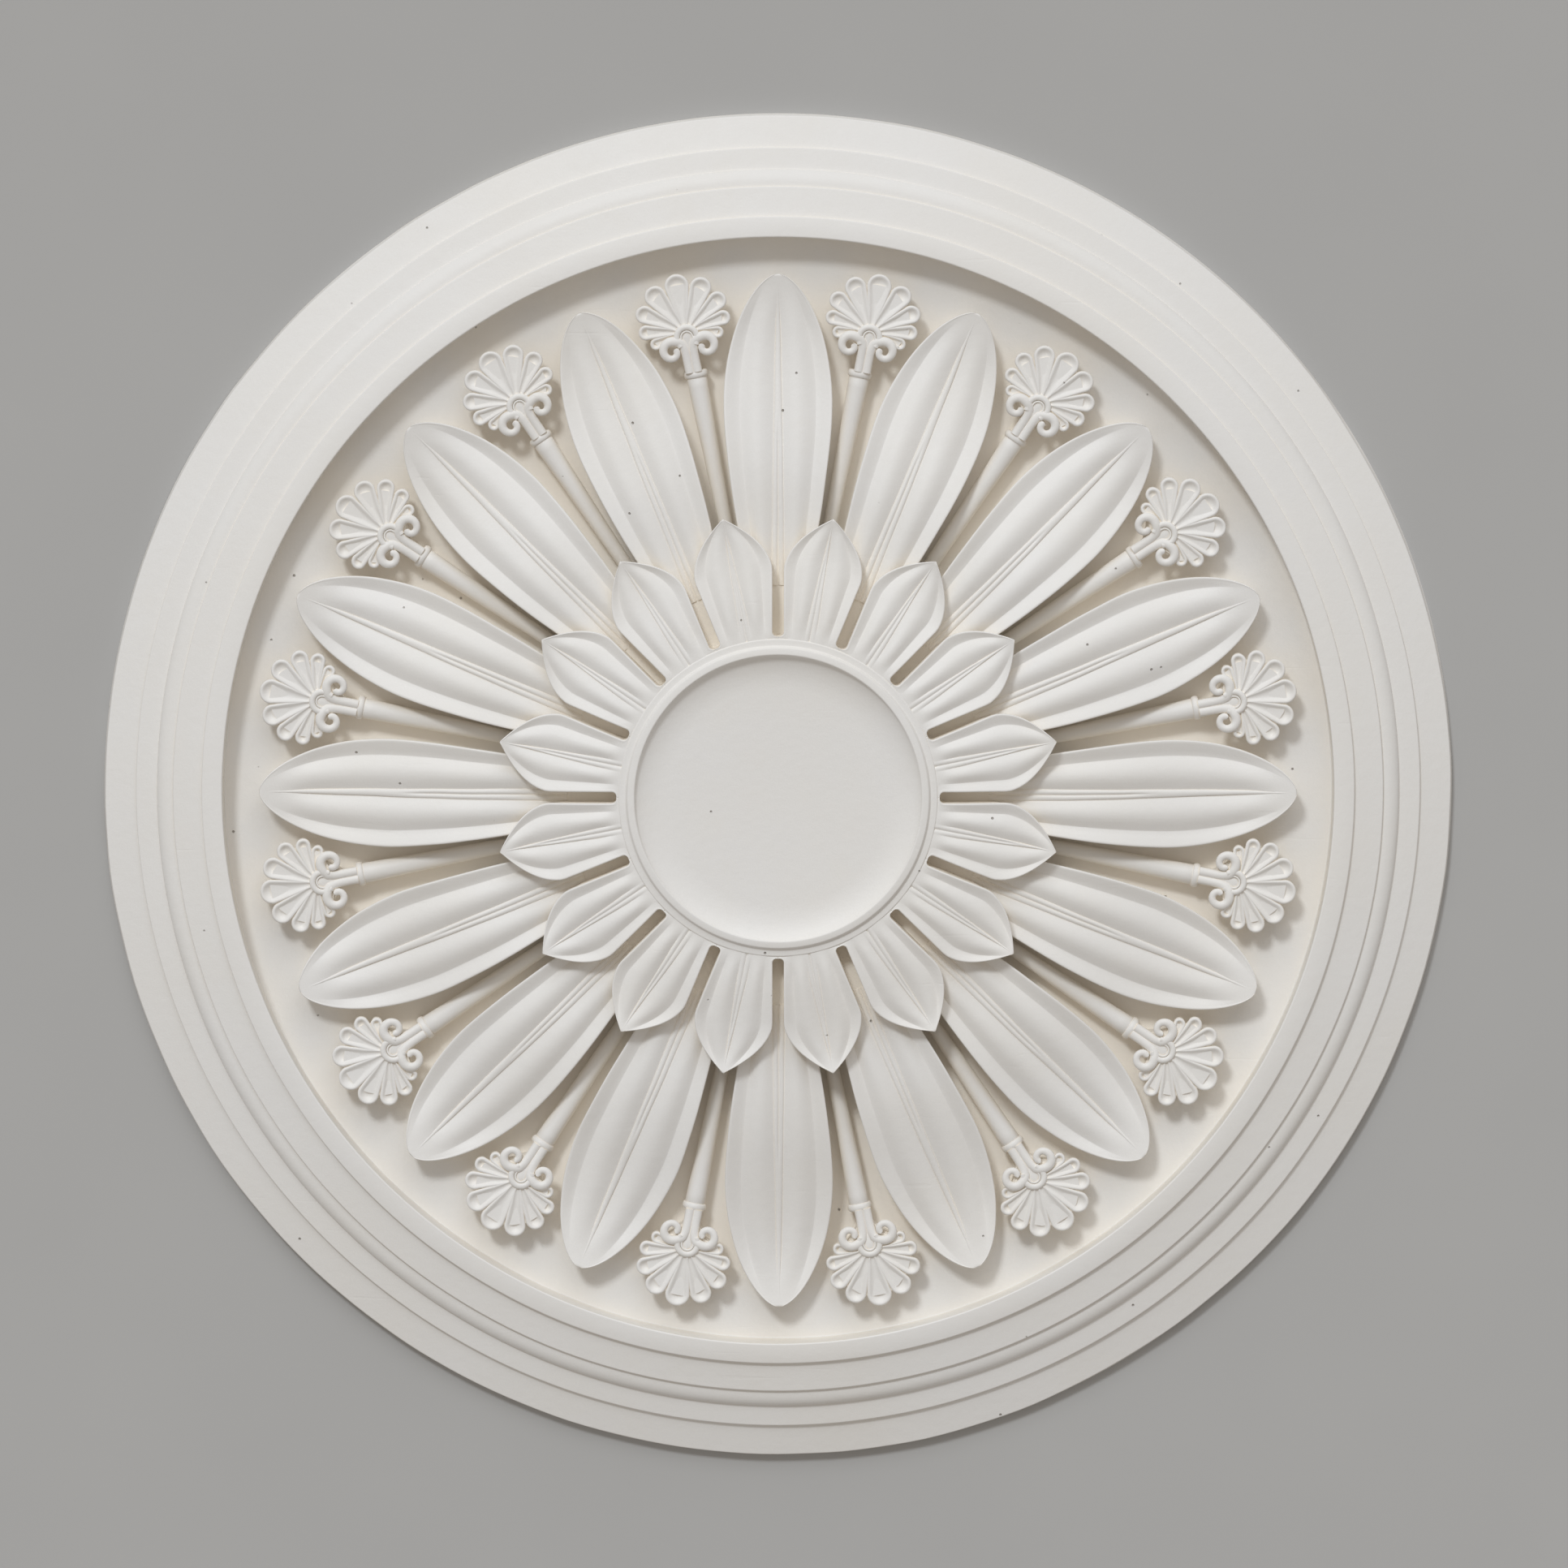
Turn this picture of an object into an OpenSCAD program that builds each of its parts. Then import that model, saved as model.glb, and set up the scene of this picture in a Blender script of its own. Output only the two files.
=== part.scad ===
// Ceiling rose in plaster, cast in one piece: a moulded round frame, a sunk field with large leaves and
// palmettes on stalks, and above them a rosette of small leaves round a shallow dish.
// Millimetres. The origin is the centre of the flat back, which lies against the ceiling.
// +Z points out of the decorated face, and one large leaf points along +Y.

/* [Overall] */
// Diameter over the outer edge
rose_d = 900; // [760:10:1100]
// Thickness of the bed behind the sunk field
bed_t = 12; // [9:0.5:15]
// Thickness of the outer edge
edge_t = 10; // [7:0.5:14]
// Number of large leaves, of small leaves and of palmettes
leaf_count = 16; // [14:1:18]

/* [Frame moulding] */
// Width of the outermost band
outer_band_w = 23; // [15:0.5:30]
// Width of the fillet between the outermost band and the ovolo
fillet_w = 14; // [8:0.5:18]
// Width of the ovolo
ovolo_w = 11.5; // [8:0.5:16]
// Width of the flat band inside the ovolo
flat_band_w = 19.5; // [12:0.5:26]
// Width of the highest band, at the edge of the sunk field
land_w = 13.5; // [8:0.5:20]
// Height of the steps between the bands
band_step = 2.3; // [1:0.1:4]
// Rise of the ovolo above its fillet
ovolo_rise = 7.5; // [4:0.5:10]
// Rise of every band towards the field, for each unit of its width
band_fall = 0.18; // [0.05:0.01:0.25]

/* [Large leaves] */
// Greatest width of a large leaf
leaf_w = 72; // [56:1:74]
// Distance from the leaf tip back to its widest place
leaf_belly = 86; // [70:1:100]
// Width of the leaf where it meets the drum
leaf_root_w = 39; // [26:1:44]
// Gap between the leaf tips and the frame
leaf_tip_gap = 24; // [12:1:40]
// Height of the leaf tips above the back
leaf_tip_z = 34; // [28:0.5:40]
// Height of the leaf at the drum
leaf_root_z = 48.5; // [40:0.5:50]

/* [Palmettes and stalks] */
// Gap between the palmette tips and the frame
palm_gap = 18; // [8:1:40]
// Length of the middle lobe, from the centre of the arch
lobe_len = 40.3; // [34:0.1:44]
// Radius of the rounded end of the middle lobe
lobe_r = 8.2; // [7:0.1:8.8]
// Height of the top of the palmette above the back
palm_z = 33; // [28:0.5:38]
// Thickness of the lobed plate
plate_t = 7; // [5:0.5:9]
// Distance from the centre of the arch back to the collar
collar_back = 27.3; // [24:0.5:32]
// Outer radius of a volute
volute_r = 8.1; // [7:0.1:8.6]
// Diameter of the rolled stem that makes a volute
stem_d = 5.8; // [5:0.1:6.4]
// Diameter of the stalk under its collar
stalk_d = 14; // [10:0.5:16]
// Diameter of the stalk at the drum
stalk_root_d = 8; // [6:0.5:10]
// Height of the stalk's centre line above the back
stalk_z = 24; // [20:0.5:26]

/* [Rosette and dish] */
// Diameter over the tips of the small leaves
rosette_d = 375; // [340:1:400]
// Distance from a small leaf's tip back to its widest place
small_belly = 37.5; // [30:0.5:45]
// Width of the slots between the small leaves
slot_w = 7.5; // [5:0.5:9]
// Distance from the rim of the dish to the slots
slot_gap = 4.8; // [3:0.1:12]
// Height of the small leaves above the back, at their root
rosette_z = 66; // [62:0.5:72]
// Height of the small leaf tips above the back
small_tip_z = 61; // [59:0.5:66]
// Thickness of a small leaf
small_t = 10; // [6:0.5:11]
// Diameter of the drum under the rosette, whose top is the floor of the slots
drum_d = 287; // [270:1:300]
// Height of the drum above the back
drum_z = 48; // [40:0.5:52]
// Diameter over the rim of the dish
rim_d = 199.8; // [180:0.2:202]
// Width of the rim
rim_w = 4.6; // [3:0.1:7]
// Rise of the rim above the roots of the small leaves
rim_rise = 3; // [1:0.5:5]
// Depth of the dish below the rim
dish_depth = 9; // [6:0.5:14]
// Width of the cove that rises from the dish's flat middle
cove_w = 23; // [12:0.5:30]

/* [Hidden] */
$fn = 96;

plaster = [0.93, 0.92, 0.89];
pitch = 360 / leaf_count;
// Depth to which a piece that stands on another reaches into it
embed = 2;
// Width of the pedestal's solid part outside the slots' round ends, and the drop of the plain ring between
// the rim and the slots below the small leaves' edges
pedestal_w = 10;
ring_drop = 0.5;

// The frame, from the outer edge in
edge_r = rose_d / 2;
fillet_r = edge_r - outer_band_w;
ovolo_r = fillet_r - fillet_w;
flat_r = ovolo_r - ovolo_w;
land_r = flat_r - flat_band_w;
field_r = land_r - land_w;
fillet_z = edge_t + outer_band_w * band_fall + band_step;
ovolo_z = fillet_z + fillet_w * band_fall;
ovolo_top_z = ovolo_z + ovolo_rise;
flat_z = ovolo_top_z + band_step;
land_z = flat_z + flat_band_w * band_fall + band_step;
frame_top_z = land_z + land_w * band_fall;

// Places that the leaves and palmettes take from the frame and the drum
leaf_tip_r = field_r - leaf_tip_gap;
arch_r = field_r - palm_gap - lobe_len;
collar_r = arch_r - collar_back;
drum_r = drum_d / 2;
rosette_r = rosette_d / 2;
rim_r = rim_d / 2;
slot_r = rim_r + slot_gap;
slot_end_r = slot_r + slot_w / 2;
pedestal_r = slot_end_r + pedestal_w;
pedestal_z = rosette_z - small_t + embed;
ring_z = rosette_z - ring_drop;
rim_z = rosette_z + rim_rise;
dish_r = rim_r - rim_w;
dish_z = rim_z - dish_depth;

// Shape of a leaf: shares of its half width, and depths at its widest place
VALLEY_AT = 0.7;
CREST_AT = 0.35;
FOOT_AT = 0.8;
valley_drop = 2.2;
crest_rise = 0.9;
groove_drop = 1.2;
small_relief = 0.75;
leaf_cup = 3.3;
small_cup = 2;

function clamp01(x) = min(1, max(0, x));
function ease(x) = (1 - cos(180 * clamp01(x))) / 2;

// Half width of a large leaf, at a distance d back from its tip
leaf_len = leaf_tip_r - drum_r + embed;
function leaf_half(d) =
    d < leaf_belly
    ? leaf_w / 2 * pow(1 - pow(1 - d / leaf_belly, 2), 0.6)
    : leaf_w / 2 - (leaf_w - leaf_root_w) / 2 * pow((d - leaf_belly) / (leaf_len - leaf_belly), 1.5);

// Height of a large leaf's edge: it falls from the drum, and its tip cups up again
leaf_dip = 29;
leaf_flat = 150;
leaf_low_z = leaf_tip_z - leaf_cup;
function leaf_height(d) =
    leaf_low_z
    + (leaf_root_z - leaf_low_z) * ease((d - leaf_dip) / (leaf_flat - leaf_dip))
    + leaf_cup * pow(1 - clamp01(d / leaf_dip), 2);

// Half width of a small leaf: past its widest place its edge runs along the slot, a little inside the
// slot's own wall in the pedestal
small_len = rosette_r - slot_r + embed;
slot_lip = 0.3;
function slot_side(r) = r * tan(pitch / 2) - slot_w / 2 / cos(pitch / 2) + slot_lip;
small_half = slot_side(rosette_r - small_belly);
function small_leaf_half(d) =
    d < small_belly
    ? small_half * (1 - pow(1 - d / small_belly, 2))
    : slot_side(rosette_r - d);

// Height of a small leaf's edge
small_dip = 12;
small_low_z = small_tip_z - small_cup;
function small_height(d) =
    small_low_z
    + (rosette_z - small_low_z) * ease((d - small_dip) / (small_len - 2 * small_dip))
    + small_cup * pow(1 - clamp01(d / small_dip), 2);

// One cross-section of a leaf: foot, edge, valley and crest on each side of the midrib.
// r is its distance from the rose's centre, w its half width, z its edge's height, s its share of relief.
function leaf_section(r, w, z, z_foot, s) = [
    [r, -w * FOOT_AT, z_foot],
    [r, -w, z],
    [r, -w * VALLEY_AT, z - valley_drop * s],
    [r, -w * CREST_AT, z + crest_rise * s],
    [r, 0, z - groove_drop * s],
    [r, w * CREST_AT, z + crest_rise * s],
    [r, w * VALLEY_AT, z - valley_drop * s],
    [r, w, z],
    [r, w * FOOT_AT, z_foot]
];

// Skin over sections of n points each, from the innermost out, with a flat cap at either end
module skin(sections) {
    n = len(sections[0]);
    last = len(sections) - 1;
    sides = [
        for (i = [0 : last - 1], j = [0 : n - 1])
            let (a = i * n + j, b = i * n + (j + 1) % n)
                each [[a, b, b + n], [a, b + n, a + n]]
    ];
    caps = [[for (j = [n - 1 : -1 : 0]) j], [for (j = [0 : n - 1]) last * n + j]];
    polyhedron([for (s = sections) each s], concat(sides, caps));
}

// Repeats its child round the rose, turned by a share of the pitch from the leaf that points along +Y
module round_the_rose(offset = 0) {
    for (k = [0 : leaf_count - 1])
        rotate(90 + (k + offset) * pitch) children();
}

// Distances back from the tip at which a leaf has its sections, root first and closer together at the tip
function stations(length, count, nose) =
    [for (i = [count : -1 : 0]) nose + (length - nose) * pow(i / count, 1.5)];

module large_leaf() {
    nose = 0.4;
    skin([
        for (d = stations(leaf_len, 8, nose))
            leaf_section(leaf_tip_r - d, leaf_half(d), leaf_height(d), bed_t - embed,
                         min(1, d / leaf_dip))
    ]);
}

module small_leaf() {
    nose = 0.3;
    skin([
        for (d = stations(small_len, 6, nose))
            leaf_section(rosette_r - d, small_leaf_half(d), small_height(d),
                         small_height(d) - small_t * (0.6 + 0.4 * d / small_len),
                         small_relief * min(1, d / small_dip))
    ]);
}

// Angle, length and end radius of the k-th lobe from the middle of a palmette. A half between two whole
// numbers gives the groove between two lobes.
LOBES = 4;
function lobe_angle(k) = sign(k) * (31.5 * abs(k) - 1.7 * k * k);
function lobe_reach(k) = lobe_len * (1 - 0.05 * abs(k) - 0.011 * k * k);
function lobe_end(k) = lobe_r * (1 - 0.125 * abs(k));

function on_lobe(k, turn) =
    let (c = lobe_reach(k) - lobe_end(k), a = lobe_angle(k) + turn)
        [c * cos(lobe_angle(k)) + lobe_end(k) * cos(a), c * sin(lobe_angle(k)) + lobe_end(k) * sin(a)];

groove_reach = 0.88;
function in_groove(k) = groove_reach * lobe_reach(k) * [cos(lobe_angle(k)), sin(lobe_angle(k))];

// Lobed plate in one closed skin: each lobe has a raised end round a hollow, and grooves between lobes
module lobed_plate() {
    turns = [-57, -19, 19, 57];
    groove = 1.5;
    hollow = 2;
    per = len(turns) + 1;
    total = (2 * LOBES + 1) * per + 1;
    back = [-8, 0];
    outline = [
        for (k = [-LOBES : LOBES])
            each [in_groove(k - 0.5), for (turn = turns) on_lobe(k, turn)],
        in_groove(LOBES + 0.5)
    ];
    rim_top = [
        for (i = [0 : total - 1])
            [outline[i].x, outline[i].y, palm_z - (i % per == 0 ? groove : 0)]
    ];
    rim_low = [for (p = outline) [p.x, p.y, palm_z - plate_t]];
    cups = [
        for (k = [-LOBES : LOBES])
            let (c = lobe_reach(k) - lobe_end(k))
                [c * cos(lobe_angle(k)), c * sin(lobe_angle(k)), palm_z - hollow]
    ];
    centre_top = [0, 0, palm_z - groove];
    centre_low = [0, 0, palm_z - plate_t];
    back_top = [back.x, back.y, palm_z - groove];
    back_low = [back.x, back.y, palm_z - plate_t];
    cup0 = 2 * total;
    ct = cup0 + len(cups);
    cl = ct + 1;
    bt = ct + 2;
    bl = ct + 3;
    tops = [for (i = [0 : total - 2]) [i, cup0 + floor(i / per), i + 1]];
    cup_backs = [
        for (k = [0 : 2 * LOBES])
            each [[k * per, ct, cup0 + k], [k * per + per, cup0 + k, ct]]
    ];
    walls = [
        for (i = [0 : total - 2])
            each [[i, i + 1, total + i + 1], [i, total + i + 1, total + i]]
    ];
    lows = [for (i = [0 : total - 2]) [total + i, total + i + 1, cl]];
    ends = [
        [0, bt, ct],
        [bt, total - 1, ct],
        [0, total, bl],
        [0, bl, bt],
        [total - 1, bt, bl],
        [total - 1, bl, 2 * total - 1],
        [total, cl, bl],
        [2 * total - 1, bl, cl]
    ];
    polyhedron(
        concat(rim_top, rim_low, cups, [centre_top, centre_low, back_top, back_low]),
        concat(tops, cup_backs, walls, lows, ends)
    );
}

// Foot that carries the plate and the volutes on the bed, set back so that their edges are undercut
module palmette_foot() {
    top = palm_z - plate_t / 2 - 1;
    side = [
        [-collar_back, stalk_d / 2 - 2],
        [-collar_back / 2, stalk_d / 2 + 2],
        [-2, lobe_len / 2],
        [lobe_len * 0.45, lobe_len * 0.4],
        [lobe_len * 0.75, lobe_r * 0.6]
    ];
    outline = concat(side, [for (i = [len(side) - 1 : -1 : 0]) [side[i].x, -side[i].y]]);
    translate([0, 0, bed_t - embed])
        linear_extrude(top - bed_t + embed) polygon(outline);
}

// Outline of a strip of width w along a path
function strip(path, w) =
    let (
        last = len(path) - 1,
        sides = [
            for (i = [0 : last])
                let (v = path[min(i + 1, last)] - path[max(i - 1, 0)])
                    [-v.y, v.x] / norm(v) * w / 2
        ]
    )
        concat(
            [for (i = [0 : last]) path[i] - sides[i]],
            [for (i = [last : -1 : 0]) path[i] + sides[i]]
        );

// Flat-topped rib along a path, whose top stands at height z
module rib(path, w, z) {
    translate([0, 0, z - w])
        linear_extrude(w) polygon(strip(path, w));
}

// The plate, its foot, the arch and the two stems, which run side by side from the collar, curl outward and
// back, and end in a volute round a small eye
module palmette() {
    coil_r = volute_r - stem_d / 2;
    eye = [-8.8, volute_r + 4.2];
    split = [-14, stem_d * 0.53];
    arch_w = 3.5;
    arch_ring = 6.6;
    proud = 0.6;
    lobed_plate();
    palmette_foot();
    rib([for (a = [-90 : 30 : 90]) arch_ring * [cos(a), sin(a)]], arch_w, palm_z + proud);
    for (side = [-1, 1])
        rib([
                for (p = [[-collar_back + 1, stem_d * 0.48], split, split + [4, 2.1], eye + [2.7, -3.7]])
                    [p.x, side * p.y],
                for (a = [-30 : 38 : 198])
                    [eye.x + coil_r * cos(a), side * (eye.y + coil_r * sin(a))]
            ], stem_d, palm_z + 2 * proud);
}

// One cross-section of a stalk of radius d / 2: a round top over sides that draw in to its foot
function stalk_section(r, d) = [
    [r, -d / 2 * FOOT_AT, bed_t - embed],
    for (a = [180 : -45 : 0]) [r, -d / 2 * -cos(a), stalk_z + d / 2 * sin(a)],
    [r, d / 2 * FOOT_AT, bed_t - embed]
];

// Round-topped stalk, with a rolled collar at its outer end
module stalk() {
    collar_w = 5.4;
    collar_roll = 1.8;
    root_r = drum_r - embed;
    collar_start = collar_r - collar_w / 2;
    skin([
        stalk_section(root_r, stalk_root_d),
        stalk_section(collar_start, stalk_d),
        for (a = [-60 : 60 : 60])
            stalk_section(collar_r + collar_w / 2 * sin(a), stalk_d + collar_roll * cos(a)),
        stalk_section(collar_r + collar_w / 2, stalk_d - collar_roll)
    ]);
}

// Bed, frame moulding, drum, pedestal, rim and dish, turned from one outline
module turned_body() {
    ovolo_curve = [
        for (a = [0 : 11.25 : 90])
            [flat_r + ovolo_w * sin(a), ovolo_z + ovolo_rise * cos(a)]
    ];
    cove_curve = [
        for (a = [0 : 11.25 : 90])
            [dish_r - cove_w + cove_w * sin(a), rim_z - dish_depth * cos(a)]
    ];
    rotate_extrude()
        polygon(concat(
            [[0, 0], [edge_r, 0], [edge_r, edge_t]],
            [[fillet_r, fillet_z - band_step], [fillet_r, fillet_z]],
            [for (i = [len(ovolo_curve) - 1 : -1 : 0]) ovolo_curve[i]],
            [[flat_r, flat_z]],
            [[land_r, land_z - band_step], [land_r, land_z], [field_r, frame_top_z]],
            [[field_r, bed_t], [drum_r, bed_t], [drum_r, drum_z]],
            [[pedestal_r, drum_z], [pedestal_r, pedestal_z], [slot_end_r, pedestal_z]],
            [[slot_end_r, ring_z], [rim_r, ring_z], [rim_r, rim_z]],
            [for (i = [len(cove_curve) - 1 : -1 : 0]) cove_curve[i]],
            [[0, dish_z]]
        ));
}

// Round-ended slots in the pedestal, down to the top of the drum
module slots() {
    round_the_rose()
        translate([slot_end_r, 0, drum_z]) {
            cylinder(d = slot_w, h = rim_z - drum_z);
            translate([0, -slot_w / 2, 0]) cube([pedestal_r - slot_end_r + embed, slot_w, rim_z - drum_z]);
        }
}

module ceiling_rose() {
    color(plaster) {
        difference() {
            turned_body();
            slots();
        }
        round_the_rose() large_leaf();
        round_the_rose(0.5) small_leaf();
        round_the_rose(0.5) stalk();
        round_the_rose(0.5) translate([arch_r, 0, 0]) palmette();
    }
}

ceiling_rose();
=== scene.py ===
import random
from math import cos, exp, hypot, pi, radians, sin, sqrt, tan

import bmesh
import bpy
from mathutils import Matrix, Vector, noise


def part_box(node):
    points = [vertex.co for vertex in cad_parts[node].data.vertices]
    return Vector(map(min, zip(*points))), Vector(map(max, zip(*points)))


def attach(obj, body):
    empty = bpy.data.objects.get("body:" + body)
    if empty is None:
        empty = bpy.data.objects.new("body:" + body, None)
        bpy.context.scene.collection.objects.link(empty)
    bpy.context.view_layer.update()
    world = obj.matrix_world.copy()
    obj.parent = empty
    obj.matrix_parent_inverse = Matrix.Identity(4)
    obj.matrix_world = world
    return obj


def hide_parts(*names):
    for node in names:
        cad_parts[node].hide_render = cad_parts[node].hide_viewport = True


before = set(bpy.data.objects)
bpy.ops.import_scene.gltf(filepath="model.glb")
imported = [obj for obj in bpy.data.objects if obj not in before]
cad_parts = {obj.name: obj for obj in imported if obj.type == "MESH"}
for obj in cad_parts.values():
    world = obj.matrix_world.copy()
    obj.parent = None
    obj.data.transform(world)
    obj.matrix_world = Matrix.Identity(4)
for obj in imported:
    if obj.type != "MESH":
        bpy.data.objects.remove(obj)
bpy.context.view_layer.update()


# ---------------------------------------------------------------- Viewpoint
# The rose lies face up on a pale floor. It is seen through a long lens from almost straight above, leaning
# a little to the side of the leaf that points along +Y.
view_centre = Vector((0.0039, 0.0041, 0.012))
view_lean = radians(5.5)
view_distance = 6.0
view_width = 1.0437

lens = bpy.data.cameras.new("camera")
lens.lens = lens.sensor_width * view_distance / view_width
camera = bpy.data.objects.new("camera", lens)
camera.location = view_centre + view_distance * Vector((0, sin(view_lean), cos(view_lean)))
camera.rotation_euler = (-view_lean, 0, 0)
bpy.context.scene.collection.objects.link(camera)
bpy.context.scene.camera = camera
bpy.context.scene.view_settings.view_transform = "Standard"


# ---------------------------------------------------------------- Plaster
# The whole rose is one fine casting plaster, left bare: slightly warm white with a faint sheen, a fine grain,
# a few pinholes from air bubbles, faint scratches and a cream tone where it has yellowed. Painted shade is laid
# into its colour too: a warm tan in the recesses and gaps, dark pinholes and a creamier copy for the sunk bed.
def socket(tree, kind, name, inward, value=None):
    made = tree.interface.new_socket(
        name=name, in_out="INPUT" if inward else "OUTPUT", socket_type="NodeSocket" + kind
    )
    if value is not None:
        made.default_value = value


def node(tree, kind, inputs=(), **settings):
    made = tree.nodes.new("ShaderNode" + kind)
    for name, value in settings.items():
        setattr(made, name, value)
    for name, value in dict(inputs).items():
        if hasattr(value, "is_linked"):
            tree.links.new(value, made.inputs[name])
        else:
            made.inputs[name].default_value = value
    return made


def ramp(tree, factor, *stops):
    made = node(tree, "ValToRGB", {"Fac": factor})
    steps = made.color_ramp.elements
    while len(steps) < len(stops):
        steps.new(0.5)
    for step, (place, shade) in zip(steps, stops):
        step.position = place
        step.color = (shade, shade, shade, 1)
    return made.outputs["Color"]


def mixed(tree, factor, a, b):
    made = node(tree, "Mix", data_type="RGBA")
    for name, value in (("Factor_Float", factor), ("A_Color", a), ("B_Color", b)):
        target = next(s for s in made.inputs if s.identifier == name)
        if hasattr(value, "is_linked"):
            tree.links.new(value, target)
        else:
            target.default_value = value
    return next(s for s in made.outputs if s.identifier == "Result_Color")


def maths(tree, what, a, b=0.0):
    made = node(tree, "Math", {0: a, 1: b}, operation=what)
    return made.outputs[0]


plaster_surface = bpy.data.node_groups.new("plaster_surface", "ShaderNodeTree")
socket(plaster_surface, "Color", "White", True, (0.8, 0.79, 0.77, 1))
socket(plaster_surface, "Color", "Cream", True, (0.78, 0.74, 0.66, 1))
socket(plaster_surface, "Float", "Yellowing", True, 0.5)
# Painted shade: the warm tan that the recesses and gaps are coloured with
socket(plaster_surface, "Color", "Painted_shade_colour", True, (0.7, 0.6, 0.48, 1))
socket(plaster_surface, "Float", "Openness", True, 1.0)
socket(plaster_surface, "Color", "Colour", False)
socket(plaster_surface, "Float", "Roughness", False)
socket(plaster_surface, "Float", "Height", False)

g = plaster_surface
given = g.nodes.new("NodeGroupInput").outputs
place = node(g, "TexCoord").outputs["Object"]
cloud = node(g, "TexNoise", {"Vector": place, "Scale": 9.0, "Detail": 3.0, "Roughness": 0.55}).outputs["Fac"]
stain = node(g, "TexNoise", {"Vector": place, "Scale": 38.0, "Detail": 4.0, "Roughness": 0.6}).outputs["Fac"]
grain = node(g, "TexNoise", {"Vector": place, "Scale": 900.0, "Detail": 2.0, "Roughness": 0.6}).outputs["Fac"]
skin_swell = node(g, "TexNoise", {"Vector": place, "Scale": 150.0, "Detail": 2.0}).outputs["Fac"]

# Pinholes: tight round pits, and only a few of the cells have one. They are sunk in the bump and painted dark
# as the shade inside them
cells = node(g, "TexVoronoi", {"Vector": place, "Scale": 75.0, "Randomness": 1.0})
which = node(g, "TexWhiteNoise", {"Vector": cells.outputs["Position"]}, noise_dimensions="3D")
chosen = ramp(g, which.outputs["Value"], (0.90, 0.0), (0.905, 1.0))
pit = ramp(g, cells.outputs["Distance"], (0.035, 1.0), (0.075, 0.0))
pits = maths(g, "MULTIPLY", chosen, pit)

# Scratches: thin broken lines along a stretched noise
drawn_out = node(g, "Mapping", {"Vector": place, "Rotation": (0.0, 0.0, 0.6), "Scale": (14.0, 260.0, 120.0)})
lines = node(g, "TexNoise", {"Vector": drawn_out.outputs["Vector"], "Scale": 1.0, "Detail": 1.0}).outputs["Fac"]
scratched_part = ramp(g, cloud, (0.52, 0.0), (0.6, 1.0))
scratch = maths(g, "MULTIPLY", ramp(g, lines, (0.70, 0.0), (0.76, 1.0)), scratched_part)

toned = maths(g, "MULTIPLY", ramp(g, cloud, (0.38, 0.0), (0.68, 1.0)), given["Yellowing"])
base = mixed(g, toned, given["White"], given["Cream"])
spotted = mixed(g, maths(g, "MULTIPLY", ramp(g, stain, (0.55, 0.0), (0.78, 1.0)), 0.25), base, given["Cream"])
specked = mixed(g, maths(g, "MULTIPLY", ramp(g, grain, (0.35, 0.0), (0.7, 1.0)), 0.07), spotted,
                (0.62, 0.59, 0.54, 1))
# Painted shade: in the undercuts and the narrow gaps, where ambient occlusion is low, the colour is mixed
# towards a warm tan
painted_shade_mask = maths(g, "MULTIPLY", ramp(g, given["Openness"], (0.2, 1.0), (0.78, 0.0)), 0.85)
with_painted_shade = mixed(g, painted_shade_mask, specked, given["Painted_shade_colour"])
# Painted shade: the pinholes are coloured dark brown for the shade inside them
final = mixed(g, maths(g, "MULTIPLY", pits, 0.75), with_painted_shade, (0.24, 0.2, 0.16, 1))
shine = maths(g, "ADD", maths(g, "MULTIPLY", stain, 0.16), 0.46)
relief = maths(g, "ADD", maths(g, "MULTIPLY", grain, 0.00006), maths(g, "MULTIPLY", skin_swell, 0.00018))
relief = maths(g, "SUBTRACT", relief, maths(g, "MULTIPLY", pits, 0.0009))
relief = maths(g, "SUBTRACT", relief, maths(g, "MULTIPLY", scratch, 0.00005))
handed = g.nodes.new("NodeGroupOutput").inputs
g.links.new(final, handed["Colour"])
g.links.new(shine, handed["Roughness"])
g.links.new(relief, handed["Height"])


def plaster(name, white, cream, yellowing):
    material = bpy.data.materials.new(name)
    material.use_nodes = True
    tree = material.node_tree
    shader = tree.nodes["Principled BSDF"]
    look = tree.nodes.new("ShaderNodeGroup")
    look.node_tree = plaster_surface
    look.inputs["White"].default_value = (*white, 1)
    look.inputs["Cream"].default_value = (*cream, 1)
    look.inputs["Yellowing"].default_value = yellowing
    # The painted shade's tan, with ambient occlusion setting where it goes
    look.inputs["Painted_shade_colour"].default_value = (0.94, 0.875, 0.775, 1)
    openness = node(tree, "AmbientOcclusion", {"Distance": 0.028}, samples=6)
    tree.links.new(openness.outputs["AO"], look.inputs["Openness"])
    bump = node(tree, "Bump", {"Strength": 1.0, "Distance": 1.0, "Height": look.outputs["Height"]})
    tree.links.new(look.outputs["Colour"], shader.inputs["Base Color"])
    tree.links.new(look.outputs["Roughness"], shader.inputs["Roughness"])
    tree.links.new(bump.outputs["Normal"], shader.inputs["Normal"])
    shader.inputs["Specular IOR Level"].default_value = 0.42
    return material


raised_plaster = plaster("raised_plaster", (0.81, 0.805, 0.80), (0.80, 0.78, 0.745), 0.4)
# The sunk bed's copy is creamier and a little darker: painted warm shade for the bed lying below the frame and
# leaves
sunk_plaster_painted_shade = plaster("sunk_plaster_painted_shade", (0.80, 0.785, 0.755), (0.79, 0.75, 0.685), 0.7)


# ---------------------------------------------------------------- Frame moulding and bed
# The round frame is run in plaster with a turning template, and the sunk bed and the drum for the rosette
# are turned with it. Every band slopes outward; its arrises are a little soft and the rim a little uneven.
MM = 0.001
noise.seed_set(5)
edge_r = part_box("ceiling_rose")[1].x / MM
bed_z = 12.0
drum_r = 143.5
drum_z = 48.0
field_r = 368.5
frame_steps = 256


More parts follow.
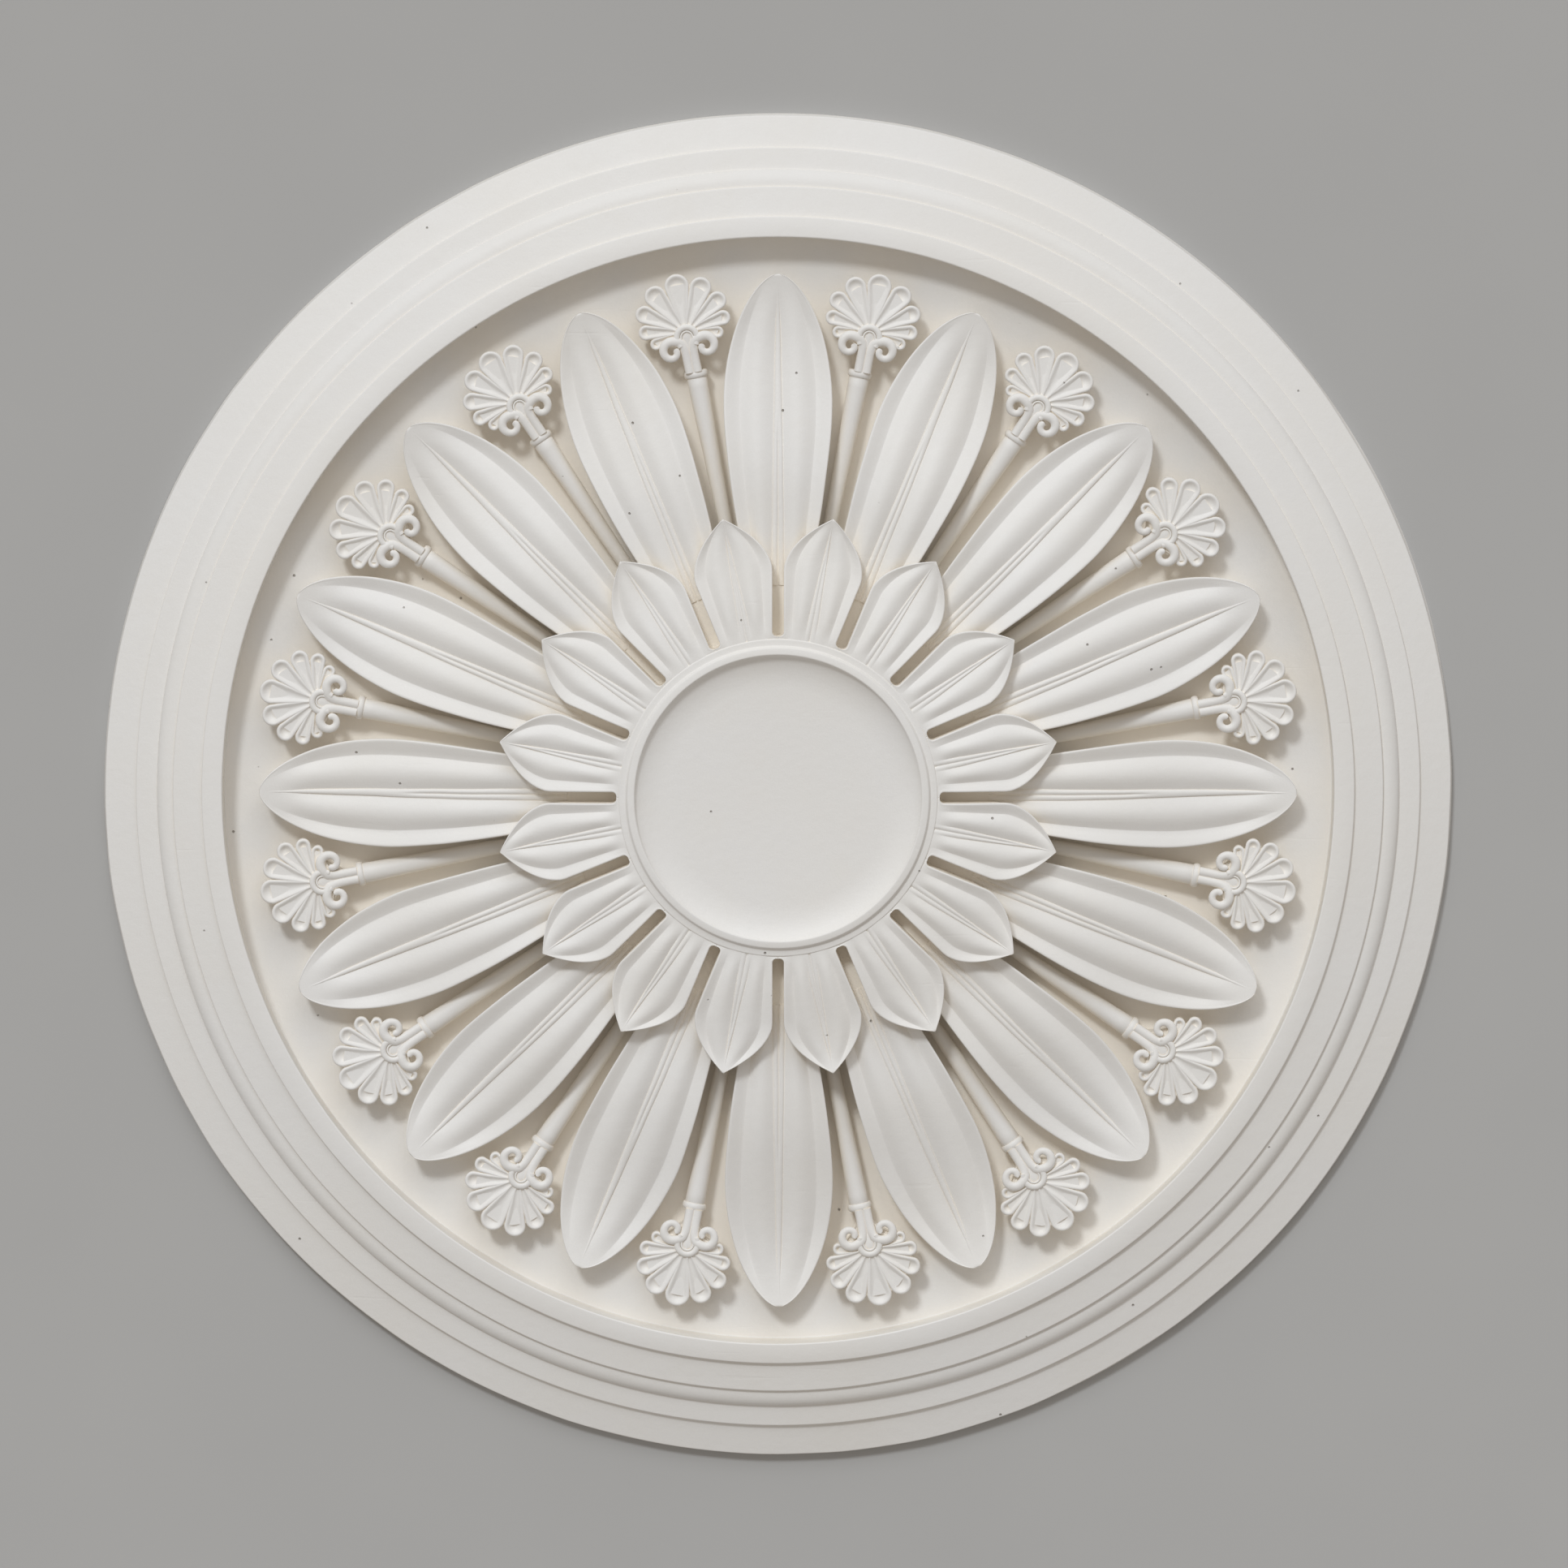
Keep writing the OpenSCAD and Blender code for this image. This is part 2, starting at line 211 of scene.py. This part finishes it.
def turned(bm, corners, steps):
    """Turns an outline into a closed solid. A corner is (radius, height) or (radius, height, rounding)."""
    path = []
    for i, (r, z, *rounding) in enumerate(corners):
        here = Vector((r, 0, z))
        if not rounding:
            path.append(here)
            continue
        back = (Vector((corners[i - 1][0], 0, corners[i - 1][1])) - here).normalized()
        on = (Vector((corners[i + 1][0], 0, corners[i + 1][1])) - here).normalized()
        half = back.angle(on) / 2
        away = rounding[0] / tan(half)
        middle = here + (back + on).normalized() * rounding[0] / sin(half)
        first, last = here + back * away - middle, here + on * away - middle
        for k in range(5):
            path.append(middle + first.slerp(last, k / 4))
    dots = [bm.verts.new(p * MM) for p in path]
    wires = [bm.edges.new(pair) for pair in zip(dots, dots[1:])]
    bmesh.ops.spin(bm, geom=dots + wires, cent=(0, 0, 0), axis=(0, 0, 1), angle=2 * pi,
                   steps=steps, use_merge=True)
    bmesh.ops.remove_doubles(bm, verts=bm.verts, dist=1e-6)


def uneven(bm, amount, size, seed, keep_z=()):
    """Leaves a cast surface a little out of true."""
    shift = Vector((seed * 7.3, seed * 3.1, seed * 1.7))
    for v in bm.verts:
        if any(abs(v.co.z - z * MM) < 1e-6 for z in keep_z):
            continue
        v.co += noise.noise_vector(v.co / (size * MM) + shift) * amount * MM


def cast(name, bm, material, sharp=35):
    """Finishes one piece of the casting and fixes it to the rose."""
    bmesh.ops.recalc_face_normals(bm, faces=bm.faces)
    mesh = bpy.data.meshes.new(name)
    bm.to_mesh(mesh)
    bm.free()
    mesh.materials.append(material)
    mesh.shade_smooth()
    mesh.set_sharp_from_angle(angle=radians(sharp))
    piece = bpy.data.objects.new(name, mesh)
    bpy.context.scene.collection.objects.link(piece)
    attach(piece, "root")
    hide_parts("ceiling_rose")
    return piece


ovolo = [(401.5 + 11.5 * sin(a * pi / 24), 18.96 + 7.5 * cos(a * pi / 24)) for a in range(12, -1, -1)]
frame_outline = [
    (0, 0), (edge_r - 0.8, 0), (edge_r, 0.8), (edge_r, 9.6, 2.2),
    (427, 14.3, 0.5), (427, 16.44, 0.7), (413.6, 18.8),
    *ovolo,
    (401.5, 28.76, 0.7), (382, 32.27, 0.4), (382, 34.57, 0.7), (field_r, 37.0, 1.0),
    (field_r + 0.8, bed_z, 1.6), (drum_r + 0.6, bed_z, 3.0), (drum_r, drum_z, 2.0), (0, drum_z),
]
bm = bmesh.new()
turned(bm, frame_outline, frame_steps)
for v in bm.verts:
    rim_share = max(0.0, v.co.xy.length / MM - 420) / 30
    if rim_share > 0 and v.co.z > 0:
        turn = v.co.xy.normalized() * 2.4
        wander = noise.noise(Vector((turn.x, turn.y, 0.3)))
        wander += 0.4 * noise.noise(Vector((turn.x, turn.y, 9.0)) * 5)
        v.co.xy *= 1 - rim_share * (0.0016 + 0.0022 * wander)
uneven(bm, 0.16, 60, 1, keep_z=(0,))
# Painted shade: the bed's upward faces get the creamier copy of the plaster
for f in bm.faces:
    f.material_index = 1 if f.calc_center_median().xy.length < (field_r + 0.6) * MM and f.normal.z > -0.5 else 0
body = cast("frame_and_bed", bm, raised_plaster)
body.data.materials.append(sunk_plaster_painted_shade)


# ---------------------------------------------------------------- Large leaves
# Sixteen large leaves are modelled on the bed. Each has a crisp valley along its margin, two cushions beside
# a grooved midrib, an undercut edge and a tip that cups up; they were pressed from one mould.
leaf_count = 16
pitch = 2 * pi / leaf_count
leaf_tip_r = 344.5
leaf_len = leaf_tip_r - drum_r + 4
leaf_belly = 86.0
leaf_w, leaf_root_w = 72.0, 39.0


def clamp(x):
    return min(1.0, max(0.0, x))


def ease(x):
    return (1 - cos(pi * clamp(x))) / 2


def leaf_half(d):
    if d < leaf_belly:
        return leaf_w / 2 * (1 - (1 - d / leaf_belly) ** 2) ** 0.6
    return leaf_w / 2 - (leaf_w - leaf_root_w) / 2 * ((d - leaf_belly) / (leaf_len - leaf_belly)) ** 1.5


def leaf_height(d):
    return 30.7 + 17.8 * ease((d - 29) / 121) + 3.3 * (1 - clamp(d / 29)) ** 2


def half_section(half, bead, z, depth, hump, groove, lip, walls):
    """One side of a leaf's section from the midrib out, as (distance from the midrib, height) pairs.
    bead is the midrib's half width, depth the valley's depth, hump the cushion's rise and groove the depth
    of the line along the midrib. walls are the points down to the foot."""
    valley = 0.7 * half
    edge = half - lip
    low = z - depth * 0.72
    points = []
    for q in (0, 0.16, 0.33, 0.6, 0.85):
        a = bead * q
        points.append((a, low + depth * 0.42 * sqrt(1 - q * q) - groove * exp(-((a / 0.75) ** 2))))
    points.append((bead, low - depth * 0.06))
    for q in (0.05, 0.12, 0.22, 0.35, 0.5, 0.65, 0.78, 0.88, 0.95, 0.985):
        base = low + (z - depth - low) * q
        rise = 0.45 * 4 * q * (1 - q) + 0.55 * sin(pi * q) ** 1.4
        points.append((bead + (valley - bead) * q, base + hump * rise))
    points.append((valley, z - depth))
    for q in (0.03, 0.08, 0.2, 0.35, 0.5, 0.65, 0.8, 0.9, 1.0):
        rise = depth * (0.45 * q * (1.45 - 0.45 * q) + 0.55 * ease(q))
        points.append((valley + (edge - valley) * q, z - depth + rise + 0.3 * lip * ease((q - 0.75) / 0.25)))
    top = z + 0.3 * lip
    for a in (30, 60, 90):
        points.append((edge + lip * sin(radians(a)), top - lip + lip * cos(radians(a))))
    return points + walls


def skin(bm, sections):
    """Stretches a closed skin over sections, given from one end to the other."""
    across, along = len(sections[0]), len(sections) - 1
    grid = bmesh.ops.create_grid(bm, x_segments=across, y_segments=along, size=0.5)["verts"]
    for v in grid:
        i = round((v.co.x + 0.5) * across) % across
        j = round((v.co.y + 0.5) * along)
        v.co = Vector(sections[j][i]) * MM
    bmesh.ops.remove_doubles(bm, verts=grid, dist=1e-7)
    bmesh.ops.holes_fill(bm, edges=[e for e in bm.edges if e.is_boundary], sides=0)


def both_sides(r, side, foot_shift):
    """A full section at radius r from one side's points: the last two, at the foot, are set back."""
    right = [(r - (foot_shift if i >= len(side) - 2 else 0), a, z) for i, (a, z) in enumerate(side)]
    return [(x, -a, z) for x, a, z in reversed(right[1:])] + right


def set_round(bm, offset, seed, turn=0.25, lift=0.15):
    """Repeats what is in bm round the rose, each copy a little out of true."""
    luck = random.Random(seed)
    first = bm.verts[:] + bm.edges[:] + bm.faces[:]
    for k in range(leaf_count):
        if k < leaf_count - 1:
            copy = bmesh.ops.duplicate(bm, geom=first)["geom"]
            verts = [v for v in copy if isinstance(v, bmesh.types.BMVert)]
        else:
            verts = [v for v in first if isinstance(v, bmesh.types.BMVert)]
        angle = pi / 2 + (k + 1 + offset) * pitch + radians(luck.uniform(-turn, turn))
        bmesh.ops.rotate(bm, verts=verts, cent=(0, 0, 0), matrix=Matrix.Rotation(angle, 3, "Z"))
        bmesh.ops.translate(bm, verts=verts, vec=(0, 0, luck.uniform(-lift, lift) * MM))


rows = 46
sections = []
for j in range(rows + 1):
    d = 0.25 + (leaf_len - 0.25) * (j / rows) ** 1.7
    r = leaf_tip_r - d
    half = leaf_half(d)
    spread = ease((d - 4) / 36)
    wide = half / 36
    z = leaf_height(d) - (0.9 if j == 0 else 0.25 if j == 1 else 0)
    lip = min(0.9, half * 0.4)
    bead = 0.35 + 3.9 * clamp((d - 13) / 190) ** 0.57 * clamp(d / 30)
    foot_r = 7 * (1 - clamp(d / 70))
    foot = 0.82 * half
    sides = [(half - 0.1, z - 3.0), (half * 0.93, z - 7.5), (foot, bed_z + 3), (foot, bed_z - 3)]
    sections.append(both_sides(r, half_section(
        half, bead, z, 3.0 * spread * min(1, wide * 1.15), 3.6 * spread * min(1, wide * 1.1),
        1.2 * ease((d - 92) / 22), lip, sides), foot_r))
bm = bmesh.new()
skin(bm, sections)
set_round(bm, 0, 11)
uneven(bm, 0.22, 26, 2)
cast("large_leaves", bm, raised_plaster, 60)


# ---------------------------------------------------------------- Stalks
# Between the large leaves a round-topped stalk comes out of the drum and thickens towards a rolled collar,
# which holds the palmette. It is cast with the bed and undercut along its sides.
collar_r = 282.9
stalk_z = 24.0


def stalk_section(r, wide):
    top = [(r, -wide / 2 * cos(radians(a)), stalk_z + wide / 2 * sin(radians(a))) for a in range(0, 181, 15)]
    low = bed_z - 2
    left = [(r, -wide * 0.4, low), (r, -wide * 0.44, low + 6)]
    right = [(r, wide * 0.44, low + 6), (r, wide * 0.4, low)]
    return left + top + right


sections = []
for j in range(25):
    r = drum_r - 2 + (collar_r - 2.7 - drum_r + 2) * j / 24
    sections.append(stalk_section(r, 8 + 5.6 * (j / 24) ** 1.2))
for a in range(-90, 91, 15):
    sections.append(stalk_section(collar_r + 2.4 * sin(radians(a)), 13.2 + 3.0 * cos(radians(a))))
bm = bmesh.new()
skin(bm, sections)
set_round(bm, 0.5, 12)
uneven(bm, 0.15, 20, 3)
cast("stalks", bm, raised_plaster, 40)


# ---------------------------------------------------------------- Palmettes
# At the end of each stalk stands a palmette of nine spooned lobes with beaded rims. A horseshoe arch and two
# stems that curl out into volutes stand on its root. It is cast proud of the bed, with an undercut edge.
palm_r = 310.2
palm_z = 33.0
plate_t = 7.0
lobe_len, lobe_r = 40.3, 8.2
arch_x = -1.9
volute_x, volute_y, volute_reach = -8.6, 11.2, 5.8


def lobe_angle(k):
    return radians(29.5 * k - 1.3 * k * abs(k))


def lobe_skin(bm, k):
    """One lobe: a spoon with a round end and a rim, which narrows to its root in the arch."""
    reach = lobe_len * (1 - 0.024 * k * k)
    end = lobe_r * (1 - 0.125 * abs(k))
    middle = reach - end
    start = 5.0
    rows = 24
    droop = radians(4.5) * k
    spots = (0, 0.2, 0.38, 0.54, 0.66, 0.76, 0.84, 0.9, 0.95, 0.985, 1)
    sections = []
    for j in range(rows + 1):
        q = 1 - (1 - j / rows) ** 1.5
        t = start + (reach - 0.02 - start) * q
        half = end * (t / middle) ** 0.75 if t < middle else sqrt(max(end * end - (t - middle) ** 2, 0.0025))
        level = palm_z - 0.8 * (t / reach) ** 2
        rim = min(2.3, 0.45 * end * (min(t, middle) / middle) ** 0.75 + 0.25)
        most = end * (min(t, middle) / middle) ** 0.75
        deep = 2.9 * (t / reach) ** 1.1
        side = []
        for spot in spots:
            a = half * spot
            inside = (half - a) if t < middle else end - hypot(t - middle, a)
            if inside < rim / 2:
                z = level - 1.5 + 1.5 * sqrt(max(0.0, 1 - (1 - inside / rim * 2) ** 2))
            elif inside < rim:
                z = level - 0.5 * (1 - sqrt(max(0.0, 1 - (inside / rim * 2 - 1) ** 2)))
            else:
                share = clamp((inside - rim) / max(most - rim, 0.01))
                z = level - 0.5 - deep * (1 - (1 - share) ** 2.6)
            side.append((a, z))
        side += [(half - 0.1 * min(half, 1), level - 3.2), (half * 0.9, level - plate_t)]
        ring = [(t, -a, z) for a, z in reversed(side[1:])] + [(t, a, z) for a, z in side]
        bend = lobe_angle(k) - droop * (1 - t / reach) ** 2
        c, s = cos(bend), sin(bend)
        sections.append([(palm_r + x * c - y * s, x * s + y * c, z) for x, y, z in ring])
    skin(bm, sections)


def rolled(bm, path, widths, tops):
    """A round rib along a path on the palmette, of the given widths, with its top at the given heights."""
    around = 12
    last = len(path) - 1
    sections = []
    for i, (x, y) in enumerate(path):
        along = Vector(path[min(i + 1, last)]) - Vector(path[max(i - 1, 0)])
        across = Vector((-along.y, along.x)).normalized()
        radius = widths[i] / 2
        ring = []
        for k in range(around):
            a = 2 * pi * k / around
            ring.append((palm_r + x + across.x * radius * cos(a), y + across.y * radius * cos(a),
                         tops[i] - 0.85 * radius + radius * sin(a) * (0.85 if sin(a) > 0 else 1.6)))
        sections.append(ring)
    skin(bm, sections)


bm = bmesh.new()
for k in range(-4, 5):
    lobe_skin(bm, k)
set_round(bm, 0.5, 13, turn=0.2, lift=0.2)
uneven(bm, 0.15, 15, 4)
cast("palmette_lobes", bm, raised_plaster, 60)

bm = bmesh.new()
# The foot under the lobes, set back from their edge, and the web that fills the grooves between them
foot = [(-27.3, 4.2), (-16, 4.6), (-10, 10), (-2, 19.5), (18, 16), (28, 8), (31, 4)]
web = [(-18, 3), (-9, 6), (-4, 20), (4, 25), (12, 25.5), (22, 21), (29, 13.5), (33, 6)]
for outline, low, high in ((foot, bed_z - 2, palm_z - 4.1), (web, palm_z - 6, palm_z - 2.1)):
    skin(bm, [[(palm_r + x, y, z) for y, z in
               ((-half, low), (-half, high), (0, high), (half, high), (half, low), (0, low))]
              for x, half in outline])
# The horseshoe arch, and inside it a small plate with an arched border of its own
for reach, wide, high in ((6.7, 4.1, 1.5), (3.9, 1.3, 0.6)):
    arch = [(-7.5, -reach * 0.75), (-5.0, -reach * 0.92), (-3.4, -reach)]
    arch += [(reach * cos(radians(a)) + arch_x, reach * sin(radians(a))) for a in range(-90, 91, 15)]
    arch += [(-3.4, reach), (-5.0, reach * 0.92), (-7.5, reach * 0.75)]
    rolled(bm, arch, [wide] * len(arch), [palm_z + high] * len(arch))
plate_rows = []
for t in (-13, -9, -6, -2, 0, 1.6, 3.0, 3.7):
    half = 3.7 + 0.16 * t if t < 0 else sqrt(max(3.75 ** 2 - t * t, 0.01))
    high = palm_z - 0.4 + 0.09 * min(t, 0)
    plate_rows.append([(palm_r + arch_x + t, y, z) for y, z in (
        (-half, palm_z - 5), (-half, high - 0.5), (-half * 0.8, high - 0.2), (0, high + 0.15),
        (half * 0.8, high - 0.2), (half, high - 0.5), (half, palm_z - 5), (0, palm_z - 5))])
skin(bm, plate_rows)
# The two stems, which rise side by side from the collar, curl out and back and end in a volute round an eye
for hand in (-1, 1):
    coil = [(-25.6, 2.6), (-21.5, 2.6), (-17.5, 2.6), (-13.5, 2.7), (-10.3, 2.95)]
    wide = [6.2, 6.2, 6.2, 6.2, 6.3]
    for a in range(-72, 256, 12):
        reach = volute_reach + 2.3 * (min(a, 0) / 80) ** 2 - 3.1 * clamp((a - 140) / 115) ** 1.8
        coil.append((volute_x + reach * cos(radians(a)), volute_y + reach * sin(radians(a))))
        wide.append(6.4 - 1.8 * ease((a + 20) / 230))
    for step, width in ((0.9, 3.8), (0.7, 1.8)):
        coil.append((coil[-1][0] + step, coil[-1][1] + 0.2))
        wide.append(width)
    tops = [palm_z - 0.4 + 2.6 * ease(i / 9) - 0.5 * ease((i - 16) / 12) for i in range(len(coil))]
    rolled(bm, [(x, hand * y) for x, y in coil], wide, tops)
set_round(bm, 0.5, 13, turn=0.2, lift=0.2)
uneven(bm, 0.12, 15, 5)
cast("palmette_roots", bm, raised_plaster, 45)


# ---------------------------------------------------------------- Rosette of small leaves
# Sixteen small leaves stand over the large ones, half a pitch round from them, on the drum. Narrow slots with
# round ends part them down to the drum. Their tips reach out free over the large leaves.
rosette_r = 187.5
slot_half = 3.75
slot_end_r = 108.45
small_inner_r = 101.0
small_belly = 37.5
small_len = rosette_r - small_inner_r


def small_side(r):
    """Half width of a small leaf where its edge follows the slot and the slot's round end."""
    back = slot_end_r - r
    gap = slot_half if back < 0 else sqrt(max(slot_half ** 2 - back ** 2, 0.0))
    return r * tan(pitch / 2) - (gap - 0.02) / cos(pitch / 2)


def small_half_width(d):
    if d < small_belly:
        return small_side(rosette_r - small_belly) * (1 - (1 - d / small_belly) ** 2)
    return small_side(rosette_r - d)


def small_height(d):
    return 59 + 6.6 * ease((d - 12) / 62) + 2 * (1 - clamp(d / 12)) ** 2


places = [0.15 + 60 * (j / 24) ** 1.5 for j in range(25)] + [63, 66, 69, 72, 75]
near_slot_end = (111, 109.5, 108.45, 107.6, 106.8, 106, 105.5, 105.1, 104.85, 104.7, 103.5, 101)
places += [rosette_r - r for r in near_slot_end]
sections = []
for j, d in enumerate(places):
    r = rosette_r - d
    half = small_half_width(d)
    spread = ease((d - 2) / 15) * (1 - 0.92 * ease((d - 66) / 17))
    wide = min(1, half / 22)
    z = small_height(d) - (0.8 if j == 0 else 0.2 if j == 1 else 0) - (0.35 if r < 104.6 else 0)
    lip = min(0.8, half * 0.35) * clamp((r - 103.8) / 3)
    bead = 0.3 + 3.0 * clamp((d - 6) / 60)
    deep = ease((151 - r) / 12)
    thick = (6 + 4 * d / small_len) * (1 - deep) + (z - drum_z + 1) * deep
    set_in = 1 - deep
    sides = [(half - 0.05 * set_in, z - thick * 0.35), (half * (1 - 0.03 * set_in), z - thick * 0.7),
             (half * (1 - 0.1 * set_in), z - thick), (half * (0.98 - 0.48 * set_in), z - thick)]
    sections.append(both_sides(r, half_section(
        half, bead, z, 2.3 * spread * wide, 2.8 * spread * wide, 0.9 * ease((d - 22) / 14), lip, sides),
        4 * (1 - clamp(d / 30))))
bm = bmesh.new()
skin(bm, sections)
set_round(bm, 0.5, 14, turn=0.0, lift=0.0)
uneven(bm, 0.14, 24, 6)
cast("small_leaves", bm, raised_plaster, 60)


# ---------------------------------------------------------------- Dish
# The middle is a shallow round dish with a flat floor, turned with a soft cove up to a narrow crisp rim. The
# small leaves run up to the rim's outer edge.
dish_z = 60.0
rim_r = 99.9
dish_outline = [(0, dish_z)]
dish_outline += [(72.3 + 23 * sin(a * pi / 32), 69 - 9 * cos(a * pi / 32)) for a in range(0, 17)]
dish_outline = dish_outline[:-1] + [
    (95.3, 69, 0.4), (rim_r - 0.5, 68.7, 0.9), (rim_r + 0.7, 65.9, 1.1), (104.68, 65.45, 0.3),
    (104.68, drum_z - 1), (0, drum_z - 1),
]
bm = bmesh.new()
turned(bm, dish_outline, 192)
uneven(bm, 0.08, 40, 7)
cast("dish", bm, raised_plaster)


# ---------------------------------------------------------------- Floor
# A plain pale floor of painted board, on which the rose lies face up. It is wide enough for every side view,
# and it isn't a part of the rose.
bpy.ops.mesh.primitive_plane_add(size=12, location=(0, 0, 0))
floor = bpy.context.object
floor.name = "floor"
floor_paint = bpy.data.materials.new("floor_paint")
floor_paint.use_nodes = True
tree = floor_paint.node_tree
paint = tree.nodes["Principled BSDF"]
spot = node(tree, "TexCoord").outputs["Object"]
mottle = node(tree, "TexNoise", {"Vector": spot, "Scale": 6.0, "Detail": 4.0})
tone = mixed(tree, mottle.outputs["Fac"], (0.42, 0.42, 0.42, 1), (0.45, 0.45, 0.448, 1))
tree.links.new(tone, paint.inputs["Base Color"])
paint.inputs["Roughness"].default_value = 0.8
floor.data.materials.append(floor_paint)


# ---------------------------------------------------------------- Light
# A small soft lamp on the far left throws the shadows, a wide diffuser to the right of it shades the relief,
# and an even warm fill comes from all round.
def lamp(name, turn, height, strength, spread, colour):
    light = bpy.data.lights.new(name, "SUN")
    light.energy = strength
    light.angle = radians(spread)
    light.color = colour
    holder = bpy.data.objects.new(name, light)
    turn, height = radians(turn), radians(height)
    towards = Vector((-sin(turn) * cos(height), cos(turn) * cos(height), sin(height)))
    holder.rotation_euler = towards.to_track_quat("Z", "Y").to_euler()
    bpy.context.scene.collection.objects.link(holder)


lamp("key_lamp", 25, 50, 1.12, 10, (0.93, 0.97, 1.0))
lamp("diffuser", -6, 36, 0.85, 50, (0.95, 0.975, 1.0))
world = bpy.data.worlds.new("fill")
bpy.context.scene.world = world
world.use_nodes = True
fill = world.node_tree.nodes["Background"]
fill.inputs["Color"].default_value = (1.0, 0.93, 0.85, 1)
fill.inputs["Strength"].default_value = 0.4
